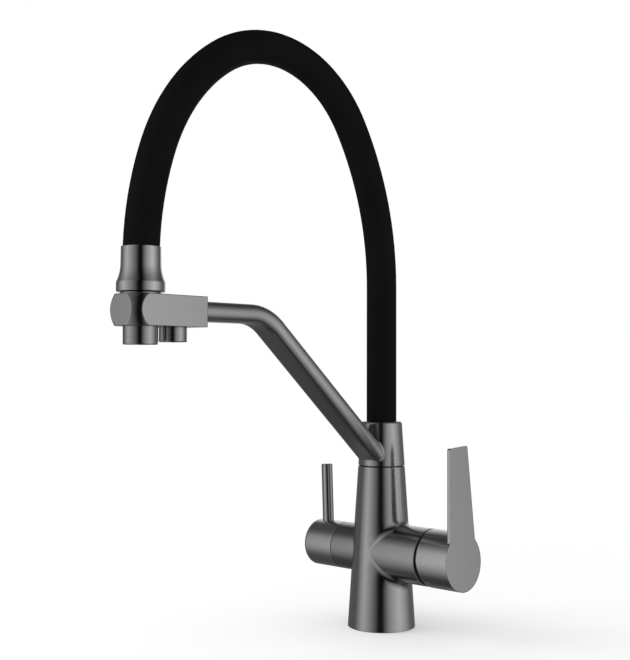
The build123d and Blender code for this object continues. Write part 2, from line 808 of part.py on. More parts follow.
def hose_path():
    """Centre line of the hose: straight up from the collar, four tangent arcs, straight down to the head."""
    turned = 0
    climb = 0
    for radius, turn in zip(arch_radii(), arch_turns):
        climb += radius * (sin(radians(turned + turn)) - sin(radians(turned)))
        turned += turn
    rise_top = hose_end_height + arch_lead_out - climb
    edges = [Line((0, hose_start_height), (0, rise_top))]
    for radius, turn in zip(arch_radii(), arch_turns):
        last = edges[-1]
        edges.append(JernArc(start=last @ 1, tangent=last % 1, radius=radius, arc_size=turn))
    edges.append(Line(edges[-1] @ 1, (-head_reach, hose_end_height)))
    return Plane.YZ * Wire(edges)


def hose_layer(outer, inner):
    path = hose_path()
    layer = swept(Circle(outer), path)
    return layer - swept(Circle(inner), path)


def hose_sleeve():
    return hose_layer(sleeve_radius, sleeve_bore_radius)


def support_tube():
    return hose_layer(support_radius, support_bore_radius)


def hose_core():
    return hose_layer(core_radius, core_bore_radius)


def hose_tail():
    """The barb that the water hose is pushed over, screwed into the collar."""
    tail = upright(tail_thread_radius, hose_start_height - tail_thread_length, hose_start_height)
    tail += upright(core_bore_radius - fit_gap, hose_start_height, hose_start_height + tail_barb_length)
    return tail - upright(tail_bore_radius, hose_start_height - tail_thread_length - overrun,
                          hose_start_height + tail_barb_length + overrun)


# Head
def head_block():
    """A barrel with three flats, run on into a square bar that holds the arm."""
    middle = block_floor_height + block_height / 2
    half = block_height / 2
    with BuildSketch(Plane.XZ) as profile:
        with BuildLine():
            side = ThreePointArc((barrel_end_radius, -half), (barrel_radius, 0), (barrel_end_radius, half))
            Polyline(side @ 1, (0, half), (0, -half), side @ 0)
        make_face()
    barrel = Pos(0, -head_reach, middle) * revolve(profile.sketch, Axis.Z)
    barrel &= Pos(0, -head_reach - block_half_width, middle) * Box(
        2 * block_half_width, 2 * block_tail, block_height,
        align=(Align.CENTER, Align.MIN, Align.CENTER))
    bar = Pos(0, -head_reach, middle) * Box(
        2 * block_half_width, block_tail, block_height, align=(Align.CENTER, Align.MIN, Align.CENTER))
    return barrel + bar


def drilled_head_block():
    block = head_block()
    tail_end = block.faces().sort_by(Axis.Y)[-1]
    block = chamfer(tail_end.edges(), edge_break)
    block -= upright(head_bore_radius + fit_gap, block_floor_height - overrun, block_top_height + overrun, 0,
                     -head_reach)
    pocket = Plane(origin=(0, -block_tail_reach - arm_pocket_depth, arm_height), x_dir=(1, 0, 0),
                   z_dir=(0, 1, 0))
    block -= extrude(pocket * flat_oval(arm_half_width + fit_gap, arm_half_height + fit_gap),
                     amount=arm_pocket_depth + overrun)
    bore = Plane(origin=(0, -outlet_reach - outlet_way_radius - fit_gap, arm_height), z_dir=(0, 1, 0))
    block -= bore * Cylinder(water_tube_radius + fit_gap, block_tail, align=FROM_LOW)
    block -= upright(outlet_way_radius, block_floor_height, arm_height, 0, -outlet_reach)
    return block - upright(outlet_thread_radius + fit_gap, block_floor_height - overrun,
                           block_floor_height + outlet_thread_length + flat_seal_thickness, 0, -outlet_reach)


def neck_nipple():
    low = block_top_height - nipple_thread_length
    high = hose_end_height + arch_lead_out
    nipple = upright(head_bore_radius, low, block_top_height, 0, -head_reach)
    ring = upright(neck_radius, block_top_height, neck_top_height, 0, -head_reach)
    nipple += chamfer(ring.edges().filter_by(GeomType.CIRCLE), fine_edge_break)
    nipple += upright(nipple_stem_radius, neck_top_height, neck_top_height + nipple_stem_length, 0,
                      -head_reach)
    nipple += upright(core_bore_radius - fit_gap, neck_top_height, high, 0, -head_reach)
    return nipple - upright(tail_bore_radius, low - overrun, high + overrun, 0, -head_reach)


def neck_seal():
    """A flat ring between the nipple's stem and the hose's end."""
    low = neck_top_height + nipple_stem_length
    high = low + neck_seal_thickness
    ring = upright(nipple_stem_radius, low, high, 0, -head_reach)
    return ring - upright(core_bore_radius, low - overrun, high + overrun, 0, -head_reach)


def hose_nut():
    """The flared nut over the hose's end: a band below, a smooth waist and a plain sleeve above."""
    bore = nipple_stem_radius + fit_gap
    wide = nut_bore_for_hose
    with BuildSketch(Plane.XZ) as profile:
        with BuildLine():
            sleeve = Line((wide + nut_lip, nut_height), (wide + nut_waist_lip, nut_waist_rise))
            waist = TangentArc(sleeve @ 1, (wide + nut_band_lip, nut_band_height), tangent=sleeve % 1)
            Polyline(waist @ 1, (wide + nut_band_lip, 0), (bore, 0), (bore, nut_height - nut_insertion),
                     (wide, nut_height - nut_insertion), (wide, nut_height), sleeve @ 0)
        make_face()
    nut = Pos(0, -head_reach, nut_floor_height) * revolve(profile.sketch, Axis.Z)
    nut = chamfer(rim_edges(nut, wide + nut_band_lip), edge_break)
    return chamfer(rim_edges(nut, wide + nut_lip), fine_edge_break)


def outlet_shell(radius, drop, bore_radius, bore_depth, thread_radius, thread_length, way_radius, reach):
    """A turned outlet that screws up into the head and holds an aerator."""
    low = block_floor_height - drop
    shell = upright(radius, low, block_floor_height, 0, -reach)
    shell = chamfer(shell.edges().filter_by(GeomType.CIRCLE).sort_by(Axis.Z)[0], edge_break)
    shell += upright(thread_radius, block_floor_height, block_floor_height + thread_length, 0, -reach)
    shell -= upright(bore_radius, low - overrun, low + bore_depth, 0, -reach)
    return shell - upright(way_radius, low, block_floor_height + thread_length + overrun, 0, -reach)


def nozzle_housing():
    return outlet_shell(nozzle_radius, nozzle_drop, nozzle_bore_radius, nozzle_bore_depth,
                        head_bore_radius, nozzle_thread_length, nozzle_way_radius, head_reach)


def filter_outlet():
    return outlet_shell(outlet_radius, outlet_drop, outlet_bore_radius, outlet_bore_depth,
                        outlet_thread_radius, outlet_thread_length, outlet_way_radius, outlet_reach)


def aerator_insert(bore_radius, bore_depth, drop, reach):
    """A moulded cup with a grid of small holes in its floor, below the shell's flat seal."""
    low = block_floor_height - drop + insert_inset
    high = block_floor_height - drop + bore_depth - flat_seal_thickness
    radius = bore_radius - fit_gap
    cup = upright(radius, low, high, 0, -reach)
    cup -= upright(radius - insert_wall, low + insert_plate, high + overrun, 0, -reach)
    rings = int((radius - insert_wall - insert_hole_radius) / insert_hole_pitch)
    holes = [upright(insert_hole_radius, low - overrun, low + insert_plate + overrun, 0, -reach)]
    for ring in range(1, rings + 1):
        for i in range(FIRST_RING * ring):
            turn = radians(FULL_TURN / (FIRST_RING * ring) * i)
            holes.append(upright(insert_hole_radius, low - overrun, low + insert_plate + overrun,
                                 ring * insert_hole_pitch * cos(turn),
                                 ring * insert_hole_pitch * sin(turn) - reach))
    return cup - holes


def nozzle_aerator():
    return aerator_insert(nozzle_bore_radius, nozzle_bore_depth, nozzle_drop, head_reach)


def outlet_aerator():
    return aerator_insert(outlet_bore_radius, outlet_bore_depth, outlet_drop, outlet_reach)


def aerator_screen(bore_radius, bore_depth, drop, reach):
    """A fine screen resting on the cup's floor."""
    low = block_floor_height - drop + insert_inset + insert_plate
    return upright(bore_radius - insert_wall - 2 * fit_gap, low, low + screen_thickness, 0, -reach)


def nozzle_screen():
    return aerator_screen(nozzle_bore_radius, nozzle_bore_depth, nozzle_drop, head_reach)


def outlet_screen():
    return aerator_screen(outlet_bore_radius, outlet_bore_depth, outlet_drop, outlet_reach)


def flat_seal(bore_radius, bore_depth, drop, reach):
    """The ring between an aerator and its shell."""
    high = block_floor_height - drop + bore_depth
    low = high - flat_seal_thickness
    ring = upright(bore_radius - fit_gap, low, high, 0, -reach)
    return ring - upright(bore_radius - flat_seal_width, low - overrun, high + overrun, 0, -reach)


def nozzle_seal():
    return flat_seal(nozzle_bore_radius, nozzle_bore_depth, nozzle_drop, head_reach)


def outlet_seal():
    return flat_seal(outlet_bore_radius, outlet_bore_depth, outlet_drop, outlet_reach)


PIECES = {
    "body_shell": body_shell, "base_insert": base_insert, "base_gasket": base_gasket,
    "cartridge_base": cartridge_base, "port_seals": port_seals, "cartridge_case": cartridge_case,
    "fixed_disc": fixed_disc, "moving_disc": moving_disc, "disc_carrier": disc_carrier,
    "cartridge_rotor": cartridge_rotor, "pivot_pin": pivot_pin, "lever_stem": lever_stem,
    "retaining_nut": retaining_nut, "cartridge_dome": cartridge_dome, "mixer_handle": mixer_handle,
    "handle_grub_screw": handle_grub_screw, "screw_cover": screw_cover, "seat_seal": seat_seal,
    "filter_headwork": filter_headwork, "filter_fixed_disc": filter_fixed_disc,
    "filter_moving_disc": filter_moving_disc, "filter_spindle": filter_spindle, "spindle_ring": spindle_ring,
    "filter_knob": filter_knob, "filter_pin_lever": filter_pin_lever, "knob_grub_screw": knob_grub_screw,
    "glide_washer": glide_washer, "swivel_spigot": swivel_spigot, "spigot_seals": spigot_seals,
    "spigot_clip": spigot_clip, "swivel_collar": swivel_collar, "spout_arm": spout_arm,
    "arm_water_tube": arm_water_tube, "hose_tail": hose_tail, "hose_core": hose_core,
    "support_tube": support_tube, "hose_sleeve": hose_sleeve, "hose_nut": hose_nut, "neck_seal": neck_seal,
    "neck_nipple": neck_nipple, "head_block": drilled_head_block, "nozzle_housing": nozzle_housing,
    "nozzle_aerator": nozzle_aerator, "nozzle_screen": nozzle_screen, "nozzle_seal": nozzle_seal,
    "filter_outlet": filter_outlet, "outlet_aerator": outlet_aerator, "outlet_screen": outlet_screen,
    "outlet_seal": outlet_seal,
}

os.makedirs("parts", exist_ok=True)
print("arch radii", [round(radius, 1) for radius in arch_radii()])
print("hose length", round(hose_path().length, 1))
for node, make in PIECES.items():
    export_step(make(), f"parts/{node}.step")
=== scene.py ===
# %% [markdown]
# # A kitchen tap with a filter valve, in brushed gun-grey metal
# The shapes of the metal pieces come finished from the CAD model, because a tap is turned and milled to
# exact sizes. Blender's share is what the eye gets from the surfaces: the brushed coating, the black
# silicone of the hose, the brazed root of the arm and the threads under the foot. The scene is in metres,
# and MM turns a size in millimetres into metres.

# %% Load the CAD model
import json
import math

import bmesh
import bpy
from mathutils import Matrix, Vector


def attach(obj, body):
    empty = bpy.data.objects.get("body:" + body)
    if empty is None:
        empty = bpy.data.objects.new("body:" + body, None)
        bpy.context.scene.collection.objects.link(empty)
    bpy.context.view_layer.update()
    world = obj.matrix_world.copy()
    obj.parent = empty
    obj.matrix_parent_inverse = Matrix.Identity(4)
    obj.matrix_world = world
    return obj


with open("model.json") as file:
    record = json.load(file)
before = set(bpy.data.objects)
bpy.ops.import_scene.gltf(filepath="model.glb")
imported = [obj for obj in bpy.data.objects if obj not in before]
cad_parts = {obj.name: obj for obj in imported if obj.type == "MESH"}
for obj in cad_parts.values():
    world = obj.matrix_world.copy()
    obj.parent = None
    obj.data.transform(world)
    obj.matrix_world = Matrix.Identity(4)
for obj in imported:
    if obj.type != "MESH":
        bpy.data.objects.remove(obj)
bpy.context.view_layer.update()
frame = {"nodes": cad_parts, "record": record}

MM = 0.001

# %% [markdown]
# ## Camera
# The photograph is taken almost level from 20 cm above the worktop, to the right of the spout, with the line
# of sight turned 43 degrees from the front view. These values were fitted to the photograph's outlines. The
# picture is 630 by 660, so the sensor's 36 mm run along its height.

# %% Camera
camera_place = Vector((0.54503, -0.65664, 0.19992))
view_turn = math.radians(43.189)
view_tilt = math.radians(1.926)
view_roll = math.radians(0.145)


def camera_axes(turn, tilt, roll):
    """Right, up and back of a camera that is turned left from +Y, tilted up and rolled."""
    ahead = Vector((-math.sin(turn) * math.cos(tilt), math.cos(turn) * math.cos(tilt), math.sin(tilt)))
    right = Vector((math.cos(turn), math.sin(turn), 0))
    up = right.cross(ahead)
    rolled_right = right * math.cos(roll) + up * math.sin(roll)
    rolled_up = up * math.cos(roll) - right * math.sin(roll)
    return rolled_right, rolled_up, -ahead


camera_data = bpy.data.cameras.new("tap_camera")
camera_data.lens = 59.445
camera_data.sensor_width = 36
camera = bpy.data.objects.new("tap_camera", camera_data)
axes = camera_axes(view_turn, view_tilt, view_roll)
camera.matrix_world = Matrix.Translation(camera_place) @ Matrix(axes).transposed().to_4x4()
bpy.context.scene.collection.objects.link(camera)
bpy.context.scene.camera = camera
bpy.context.scene.view_settings.view_transform = "Standard"
print("camera", [round(v, 3) for v in camera.location])

# %% [markdown]
# ## Helpers for materials
# A colour is written as the eye reads it on screen, as sRGB hex, and one function turns it into the linear
# values that the renderer works in. Another adds a node with its settings and links, so that each material
# below reads as a short recipe.

# %% Colour and node helpers
def linear(code):
    """Linear RGBA from an sRGB hex code."""
    values = [int(code[i:i + 2], 16) / 255 for i in (1, 3, 5)]
    return [v / 12.92 if v <= 0.04045 else ((v + 0.055) / 1.055) ** 2.4 for v in values] + [1]


def add(tree, kind, inputs=None, **settings):
    """Adds a node; settings are its properties.

    The inputs give each socket a value, a socket to link to, or a node, whose first output it then takes.
    """
    node = tree.nodes.new(kind)
    for name, value in settings.items():
        setattr(node, name, value)
    for socket, value in (inputs or {}).items():
        if isinstance(value, bpy.types.Node):
            value = value.outputs[0]
        if isinstance(value, bpy.types.NodeSocket):
            tree.links.new(value, node.inputs[socket])
        else:
            node.inputs[socket].default_value = value
    return node


def new_material(name):
    """An empty material and its node tree."""
    material = bpy.data.materials.new(name)
    material.use_nodes = True
    material.node_tree.nodes.clear()
    return material, material.node_tree


print("grey #808080 is", round(linear("#808080")[0], 3), "in linear light")

# %% [markdown]
# Every finish on the tap ends in the same way. A pattern makes the tone waver between two close colours, and
# a relief gives a bump of a real height. On the grey metal the edges are also broken, by a real radius.

# %% Surface helper
bevel_samples = 8


def finish_surface(tree, pattern, tones, spread, roughness, relief, relief_mm, edge_mm=0.0,
                   **shader_inputs):
    """The surface of one finish; spread is the part of the pattern's range over which the tone changes."""
    tone = add(tree, "ShaderNodeValToRGB", {"Fac": pattern})
    for point, position, code in zip(tone.color_ramp.elements, spread, tones):
        point.position = position
        point.color = linear(code)
    bump = add(tree, "ShaderNodeBump", {"Height": relief, "Distance": relief_mm * MM, "Strength": 1.0})
    if edge_mm:
        broken = add(tree, "ShaderNodeBevel", {"Radius": edge_mm * MM}, samples=bevel_samples)
        tree.links.new(broken.outputs["Normal"], bump.inputs["Normal"])
    shader = add(tree, "ShaderNodeBsdfPrincipled", {"Base Color": tone, "Roughness": roughness,
                                                    "Normal": bump})
    for socket, value in shader_inputs.items():
        shader.inputs[socket.replace("_", " ")].default_value = value
    add(tree, "ShaderNodeOutputMaterial", {"Surface": shader})


print("edges are broken with", bevel_samples, "samples")

# %% [markdown]
# ## Studio
# Brushed metal shows the room more than itself, so the room is built first. The tap stands on white paper in
# a white room, which is what the camera sees. For the metal a photographer adds a tent: two tall soft boxes
# to the left and right, dark cloth behind the camera, dim cloth at the back corners, and a bright wall at the
# back. They give the bright band on each side of a turned piece, the dark stripe down its middle, its dark
# edges, and the thin bright line along the top of each boss. Only mirrors see the tent.

# %% World
matt_strength = 0.85


def seen_or_mirrored(tree):
    """1 for what the camera sees, a mirror shows or glass lets through; 0 for light on matt surfaces."""
    path = add(tree, "ShaderNodeLightPath").outputs
    seen = add(tree, "ShaderNodeMath", {0: path["Is Camera Ray"], 1: path["Is Glossy Ray"]},
               operation="MAXIMUM")
    return add(tree, "ShaderNodeMath", {0: seen, 1: path["Is Transmission Ray"]}, operation="MAXIMUM")


world = bpy.data.worlds.new("white_studio")
bpy.context.scene.world = world
world.use_nodes = True
sky = world.node_tree
sky.nodes.clear()
strength = add(sky, "ShaderNodeMapRange", {"Value": seen_or_mirrored(sky), "To Min": matt_strength,
                                           "To Max": 1.0})
background = add(sky, "ShaderNodeBackground", {"Color": linear("#ffffff"), "Strength": strength})
add(sky, "ShaderNodeOutputWorld", {"Surface": background})
print("world strength", matt_strength, "on matt surfaces, 1.0 where it is seen or mirrored")

# %% [markdown]
# The paper under the tap is mostly matt, so that it takes the tap's shadow. Away from the tap it turns into
# plain white as bright as the room, so no horizon shows. Mirrors look through the paper to the tent.

# %% Floor
paper_half_side = 15
paper_drop = 0.0002
shadow_reach = 0.05
plain_reach = 0.6
plain_share_at_tap = 0.3


def placed(name, mesh, material):
    """Puts a mesh into the scene as an object with one material."""
    mesh.materials.append(material)
    piece = bpy.data.objects.new(name, mesh)
    bpy.context.scene.collection.objects.link(piece)
    return piece


floor_paper, tree = new_material("white_paper")
place = add(tree, "ShaderNodeTexCoord").outputs["Object"]
distance = add(tree, "ShaderNodeVectorMath", {0: place}, operation="LENGTH").outputs["Value"]
plain = add(tree, "ShaderNodeMapRange", {"Value": distance, "From Min": shadow_reach, "From Max": plain_reach,
                                         "To Min": plain_share_at_tap, "To Max": 1.0},
            interpolation_type="SMOOTHSTEP")
share = add(tree, "ShaderNodeMath", {0: plain, 1: seen_or_mirrored(tree)}, operation="MULTIPLY")
matt = add(tree, "ShaderNodeBsdfDiffuse", {"Color": linear("#ffffff")})
white = add(tree, "ShaderNodeEmission", {"Color": linear("#ffffff"), "Strength": 1.0})
mix = add(tree, "ShaderNodeMixShader", {"Fac": share, 1: matt, 2: white})
add(tree, "ShaderNodeOutputMaterial", {"Surface": mix})
corners = [(x * paper_half_side, y * paper_half_side, 0) for x, y in ((-1, -1), (1, -1), (1, 1), (-1, 1))]
floor_mesh = bpy.data.meshes.new("studio_floor")
floor_mesh.from_pydata(corners, [], [(0, 1, 2, 3)])
floor = placed("studio_floor", floor_mesh, floor_paper)
floor.location.z = -paper_drop
floor.visible_glossy = False
print("white floor", 2 * paper_half_side, "m wide")

# %% [markdown]
# The tent is a sphere round the tap that glows where a soft box stands behind its cloth. How bright it is
# depends on the angle round the tap, counted from the camera and positive to its right, and on the angle
# above the horizon. Each curve below is a list of angles in degrees, each with its brightness: a soft box
# 65 degrees to each side, the right one wider and brighter, dim cloth beyond them, and the wall at the back.

# %% Tent
tent_radius = 0.9
tent_centre_height = 0.15


def curve(tree, value, widest, stops):
    """A curve over angles from minus to plus the widest."""
    fraction = add(tree, "ShaderNodeMapRange", {"Value": value, "From Min": -math.radians(widest),
                                                "From Max": math.radians(widest)})
    ramp = add(tree, "ShaderNodeValToRGB", {"Fac": fraction})
    points = ramp.color_ramp.elements
    while len(points) < len(stops):
        points.new(0.5)
    for i, (angle, bright) in enumerate(stops):
        points[i].position = (angle + widest) / (2 * widest)
        points[i].color = (bright, bright, bright, 1)
    return ramp


tent_cloth, tree = new_material("studio_tent_cloth")
place = add(tree, "ShaderNodeTexCoord").outputs["Object"]
x, y, z = add(tree, "ShaderNodeSeparateXYZ", {0: place}).outputs
turn = add(tree, "ShaderNodeMath", {0: y, 1: x}, operation="ARCTAN2")
rise = add(tree, "ShaderNodeMath", {0: z, 1: tent_radius}, operation="DIVIDE")
lift = add(tree, "ShaderNodeMath", {0: rise}, operation="ARCSINE")
boxes_round = curve(tree, turn, 180, [(-100, 0.17), (-65, 0.8), (-10, 0.0), (5, 0.0), (28, 0.5), (65, 0.95),
                                      (120, 0.2)])
boxes_up = curve(tree, lift, 90, [(-80, 0.1), (-15, 1.0), (20, 0.95), (40, 0.5), (65, 0.3)])
wall_round = curve(tree, turn, 180, [(-167, 1.0), (-145, 0.0), (145, 0.0), (167, 1.0)])
wall_up = curve(tree, lift, 90, [(-12, 0.15), (5, 1.0), (26, 0.65), (45, 0.1)])
boxes = add(tree, "ShaderNodeMath", {0: boxes_round, 1: boxes_up}, operation="MULTIPLY")
wall = add(tree, "ShaderNodeMath", {0: wall_round, 1: wall_up}, operation="MULTIPLY")
bright = add(tree, "ShaderNodeMath", {0: boxes, 1: wall}, operation="MAXIMUM")
glow = add(tree, "ShaderNodeEmission", {"Color": linear("#ffffff"), "Strength": bright})
add(tree, "ShaderNodeOutputMaterial", {"Surface": glow})
print("soft boxes in", len(boxes_round.color_ramp.elements), "stops round the tap")

# %% Tent mesh
tent_mesh = bpy.data.meshes.new("studio_tent")
builder = bmesh.new()
bmesh.ops.create_uvsphere(builder, u_segments=96, v_segments=48, radius=tent_radius)
builder.to_mesh(tent_mesh)
builder.free()
tent = placed("studio_tent", tent_mesh, tent_cloth)
tent.location = (0, 0, tent_centre_height)
tent.rotation_euler.z = math.atan2(camera_place.y, camera_place.x)
for way in ("visible_camera", "visible_diffuse", "visible_shadow", "visible_transmission"):
    setattr(tent, way, False)
print("tent of radius", tent_radius, "m")

# %% [markdown]
# One large lamp high at the front left lights what is matt, the hose and the paper, and gives the tap its
# soft shadow. Mirrors don't see it, so it puts no spot on the metal.

# %% Lamp
lamp_target = Vector((0, -0.1, 0.15))
lamp_data = bpy.data.lights.new("key_soft_box", "AREA")
lamp_data.shape = "SQUARE"
lamp_data.size = 1.2
lamp_data.energy = 14
lamp = bpy.data.objects.new("key_soft_box", lamp_data)
lamp.location = (-1.1, -1.2, 1.6)
lamp.rotation_mode = "QUATERNION"
lamp.rotation_quaternion = (lamp_target - lamp.location).to_track_quat("-Z", "Y")
lamp.visible_glossy = False
bpy.context.scene.collection.objects.link(lamp)
print("one lamp of", lamp_data.energy, "W")

# %% [markdown]
# ## Gun-grey brushed metal
# Each visible metal piece is brass, brushed with a fine belt and then coated in a vacuum with a thin hard
# grey layer. The coating follows the scratches, so the eye still sees them: they blur the mirrored room
# across themselves. A turned piece is brushed while it spins, so its scratches run round it; the arm, the
# head and the lever are brushed along. A stretched noise gives the scratches: it changes fast across them and
# slowly along. Real scratches are some 0.05 mm wide, too fine to show here, so they are drawn 0.35 mm wide.

# %% Scratches
scratch_width_mm = 0.35
scratch_length_mm = 14.0
scratch_depth_mm = 0.0007
turned_radius_mm = 18.0


def scratch_space(tree, lines):
    """Coordinates in which a scratch is one unit wide and one unit long."""
    place = add(tree, "ShaderNodeTexCoord").outputs["Object"]
    across = 1 / (scratch_width_mm * MM)
    along = 1 / (scratch_length_mm * MM)
    if lines == "round_z":
        x, y, z = add(tree, "ShaderNodeSeparateXYZ", {0: place}).outputs
        turn = add(tree, "ShaderNodeMath", {0: y, 1: x}, operation="ARCTAN2")
        arc = add(tree, "ShaderNodeMath", {0: turn, 1: turned_radius_mm * MM * along}, operation="MULTIPLY")
        high = add(tree, "ShaderNodeMath", {0: z, 1: across}, operation="MULTIPLY")
        return add(tree, "ShaderNodeCombineXYZ", {"X": arc, "Y": high})
    scale = {"along_y": (across, along, across), "along_z": (across, across, along),
             "round_x": (across, along, along), "round_head": (along, along, across)}[lines]
    return add(tree, "ShaderNodeVectorMath", {0: place, 1: scale}, operation="MULTIPLY")


print("scratches", scratch_width_mm, "mm wide")

# %% [markdown]
# The coating's roughness drifts a little, in patches some 45 mm wide. Machined edges are broken by 0.6 mm,
# and those of the head block and the lever by 1.1 mm, so that they are not sharp to the hand. The lever, the
# knob and the hose nut are given a slightly lighter grey than the rest, and the thin pin is polished.

# %% Brushed metal
scratch_spread = (0.25, 0.75)
patch_spread = (0.3, 0.7)
patches_per_metre = 22.0
coating_drift = 0.02
narrow_edge_mm = 0.6
wide_edge_mm = 1.1


def gun_grey(name, lines, low, high, roughness, edge_mm=narrow_edge_mm):
    """Coated brushed brass with its scratches in one direction and its edges broken."""
    material, tree = new_material(name)
    space = scratch_space(tree, lines)
    scratches = add(tree, "ShaderNodeTexNoise", {"Vector": space, "Scale": 1.0, "Detail": 3.0,
                                                 "Roughness": 0.6})
    place = add(tree, "ShaderNodeTexCoord").outputs["Object"]
    patches = add(tree, "ShaderNodeTexNoise", {"Vector": place, "Scale": patches_per_metre, "Detail": 2.0})
    worn = add(tree, "ShaderNodeMapRange", {"Value": patches,
                                            "From Min": patch_spread[0], "From Max": patch_spread[1],
                                            "To Min": roughness - coating_drift,
                                            "To Max": roughness + coating_drift})
    finish_surface(tree, scratches, (low, high), scratch_spread, worn, scratches, scratch_depth_mm,
                   edge_mm=edge_mm, Metallic=1.0)
    return material


turned_grey = gun_grey("gun_grey_turned_brass", "round_z", "#a9a9ab", "#b3b2b4", 0.2)
arm_grey = gun_grey("gun_grey_brass_brushed_along", "along_y", "#ababad", "#b3b2b4", 0.3)
block_grey = gun_grey("gun_grey_milled_brass_brushed_along", "along_y", "#ababad", "#b1b0b2", 0.2,
                      edge_mm=wide_edge_mm)
head_grey = gun_grey("gun_grey_turned_head_pieces", "round_head", "#a9a9ab", "#b3b2b4", 0.2)
lever_grey = gun_grey("light_gun_grey_lever_brushed_up", "along_z", "#bcbcbe", "#c4c3c5", 0.22,
                      edge_mm=wide_edge_mm)
knob_grey = gun_grey("light_gun_grey_brass_turned_sideways", "round_x", "#c6c6c8", "#cecdcf", 0.2)
nut_grey = gun_grey("light_gun_grey_turned_nut", "round_head", "#b6b6b8", "#c0bfc1", 0.18)
pin_grey = gun_grey("polished_gun_grey_pin", "round_head", "#acacae", "#b4b3b5", 0.12)
print("eight kinds of brushed grey, from", turned_grey.name, "to", pin_grey.name)

# %% [markdown]
# ## Black silicone
# The hose has a soft skin of matt silicone, extruded in one go. It hardly mirrors anything, and what light it
# gives back is spread by a fine grain, so the whole arch reads as one even black with a faint grey rim. Its
# black wavers a little, in patches some 33 mm wide.

# %% Silicone
silicone_grain_mm = 0.8
silicone_relief_mm = 0.01
silicone_roughness = 0.7
shades_per_metre = 30.0

silicone, tree = new_material("black_extruded_silicone")
place = add(tree, "ShaderNodeTexCoord").outputs["Object"]
grain = add(tree, "ShaderNodeTexNoise", {"Vector": place, "Scale": 1 / (silicone_grain_mm * MM),
                                         "Detail": 2.0})
shades = add(tree, "ShaderNodeTexNoise", {"Vector": place, "Scale": shades_per_metre, "Detail": 3.0})
finish_surface(tree, shades, ("#0a0a0a", "#121212"), (0.0, 1.0), silicone_roughness, grain,
               silicone_relief_mm, IOR=1.41, Specular_IOR_Level=0.12)
print("silicone grain", silicone_grain_mm, "mm")

# %% [markdown]
# ## Bare brass
# The insert under the foot is brass, faced on a lathe and left bare, so fine rings run round its axis. The
# brass pieces inside the tap have the same finish.

# %% Bare brass
ring_width_mm = 0.35
ring_relief_mm = 0.01
brass_roughness = 0.32
brass_drift = 0.08

bare_brass, tree = new_material("bare_faced_brass")
place = add(tree, "ShaderNodeTexCoord").outputs["Object"]
x, y, z = add(tree, "ShaderNodeSeparateXYZ", {0: place}).outputs
flat = add(tree, "ShaderNodeCombineXYZ", {"X": x, "Y": y})
distance = add(tree, "ShaderNodeVectorMath", {0: flat}, operation="LENGTH").outputs["Value"]
rings = add(tree, "ShaderNodeTexNoise", {"W": distance, "Scale": 1 / (ring_width_mm * MM), "Detail": 2.0},
            noise_dimensions="1D")
uneven = add(tree, "ShaderNodeMapRange", {"Value": rings, "To Min": brass_roughness - brass_drift,
                                          "To Max": brass_roughness + brass_drift})
finish_surface(tree, rings, ("#b08a4a", "#d0aa66"), (0.0, 1.0), uneven, rings, ring_relief_mm, Metallic=1.0)
print("rings", ring_width_mm, "mm wide")

# %% [markdown]
# ## Finishes that show from below, in the gaps, or not at all
# Set screws, screens, the lever's stem and pin, the clip and the thin tubes are stainless steel, and the
# valve discs are lapped ceramic. The aerators, the glide washer, the dome and the cover plug are moulded
# acetal, and the cartridge is moulded nylon. The dome's black also stands in for the shade inside the lever's
# hub, so it is partly painted shade. The seals and the water hose inside the silicone are rubber.

# %% Plainer finishes
grain_spread = (0.3, 0.7)
plain_drift = 0.06


def plain_finish(name, low, high, roughness, grain_mm, relief_mm, **shader_inputs):
    """A material whose tone wavers between two close colours, with a fine grain."""
    material, tree = new_material(name)
    place = add(tree, "ShaderNodeTexCoord").outputs["Object"]
    grain = add(tree, "ShaderNodeTexNoise", {"Vector": place, "Scale": 1 / (grain_mm * MM), "Detail": 3.0})
    uneven = add(tree, "ShaderNodeMapRange", {"Value": grain, "To Min": roughness - plain_drift,
                                              "To Max": roughness + plain_drift})
    finish_surface(tree, grain, (low, high), grain_spread, uneven, grain, relief_mm, **shader_inputs)
    return material


stainless = plain_finish("drawn_stainless_steel", "#b4b4b6", "#c8c8c9", 0.3, 0.6, 0.004, Metallic=1.0)
ceramic = plain_finish("lapped_alumina_ceramic", "#e6e2da", "#efece6", 0.2, 0.5, 0.002, IOR=1.76)
acetal = plain_finish("black_moulded_acetal", "#161617", "#1f1f20", 0.45, 0.7, 0.01, IOR=1.48)
nylon = plain_finish("grey_moulded_nylon", "#c4c4c0", "#d2d2ce", 0.5, 0.7, 0.01, IOR=1.53)
rubber = plain_finish("black_nitrile_rubber", "#101010", "#181818", 0.65, 0.5, 0.015, IOR=1.52)
print("plainer finishes:", ", ".join(finish.name for finish in (stainless, ceramic, acetal, nylon, rubber)))

# %% [markdown]
# ## Which piece has which finish
# The CAD pieces keep their shapes and only change their materials. The record names a material slot for each
# piece. Most slots have one finish; the grey metal has several, by how a piece is brushed and how light its
# coating is.

# %% Give each CAD piece its finish
# black_plastic also makes the dome in the lever's hub black, which is partly painted shade in the hub's gap.
slot_finish = {"gun_grey_metal": turned_grey, "brass": bare_brass, "stainless_steel": stainless,
               "ceramic": ceramic, "black_plastic": acetal, "cartridge_plastic": nylon,
               "seal_rubber": rubber, "black_silicone": silicone}
node_finish = {"mixer_handle": lever_grey, "filter_knob": knob_grey, "spout_arm": arm_grey,
               "head_block": block_grey, "filter_pin_lever": pin_grey, "hose_nut": nut_grey,
               "neck_nipple": head_grey, "nozzle_housing": head_grey, "filter_outlet": head_grey}
slots = {part["node"]: part["material_slot"] for part in frame["record"]["subparts"]}
for node, piece in frame["nodes"].items():
    finish = node_finish.get(node, slot_finish[slots[node]])
    piece.data.materials.clear()
    piece.data.materials.append(finish)
print(len(frame["nodes"]), "pieces have a finish")

